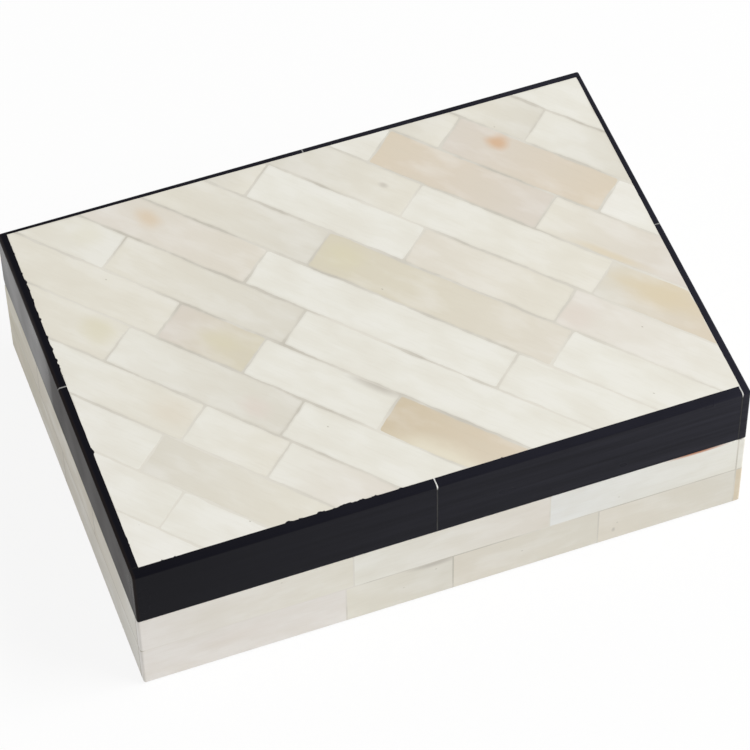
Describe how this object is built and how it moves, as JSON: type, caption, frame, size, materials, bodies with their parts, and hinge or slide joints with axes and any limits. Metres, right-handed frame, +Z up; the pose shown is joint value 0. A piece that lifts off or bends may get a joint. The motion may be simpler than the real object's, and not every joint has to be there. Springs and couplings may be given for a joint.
{
  "type": "inlaid wooden box",
  "caption": "Low rectangular keepsake box with a hinged lid: bone tiles laid in a diagonal bond on top and in level courses on the sides, the lid edged in black horn.",
  "frame": {"origin": "middle of the underside, on the surface that the box stands on", "axes": "+X along the length to the right seen from the front, +Y from front to back (hinge side), +Z up"},
  "size_m": [0.178, 0.127, 0.051],
  "materials": {
    "bone": "satin",
    "black_horn": "gloss",
    "joint_filler": "satin",
    "wood": "satin",
    "felt": "matte",
    "velvet": "matte",
    "brass": "satin"
  },
  "bodies": {
    "base": {"back_bone_lower": "bone", "back_bone_upper": "bone", "base_back_wall": "wood", "base_bottom_panel": "wood", "base_felt": "felt", "base_front_wall": "wood", "base_hinge_screws": "brass", "base_joint_filler": "joint_filler", "base_left_wall": "wood", "base_lining": "velvet", "base_right_wall": "wood", "front_bone_lower": "bone", "front_bone_upper": "bone", "left_bone_lower": "bone", "left_bone_upper": "bone", "left_hinge_base_leaf": "brass", "left_hinge_pin": "brass", "right_bone_lower": "bone", "right_bone_upper": "bone", "right_hinge_base_leaf": "brass", "right_hinge_pin": "brass"},
    "lid": {"back_strip_left_half": "black_horn", "back_strip_right_half": "black_horn", "front_strip_left_half": "black_horn", "front_strip_right_half": "black_horn", "left_hinge_lid_leaf": "brass", "left_strip_back_half": "black_horn", "left_strip_front_half": "black_horn", "lid_back_rail": "wood", "lid_bone_row_back_1": "bone", "lid_bone_row_back_2": "bone", "lid_bone_row_back_3": "bone", "lid_bone_row_back_4": "bone", "lid_bone_row_back_5": "bone", "lid_bone_row_back_6": "bone", "lid_bone_row_back_7": "bone", "lid_bone_row_front_1": "bone", "lid_bone_row_front_2": "bone", "lid_bone_row_front_3": "bone", "lid_bone_row_front_4": "bone", "lid_bone_row_front_5": "bone", "lid_bone_row_front_6": "bone", "lid_bone_row_front_7": "bone", "lid_bone_row_middle": "bone", "lid_front_rail": "wood", "lid_hinge_screws": "brass", "lid_joint_filler": "joint_filler", "lid_left_rail": "wood", "lid_lining": "velvet", "lid_right_rail": "wood", "lid_top_panel": "wood", "right_hinge_lid_leaf": "brass", "right_strip_back_half": "black_horn", "right_strip_front_half": "black_horn", "strip_seam_filler": "joint_filler"}
  },
  "joints": [
    {"name": "lid_hinge", "type": "hinge", "parent": "base", "child": "lid", "pos_m": [0, 0.0617, 0.0301], "axis": [-1, 0, 0], "range_deg": [0, 100]}
  ]
}
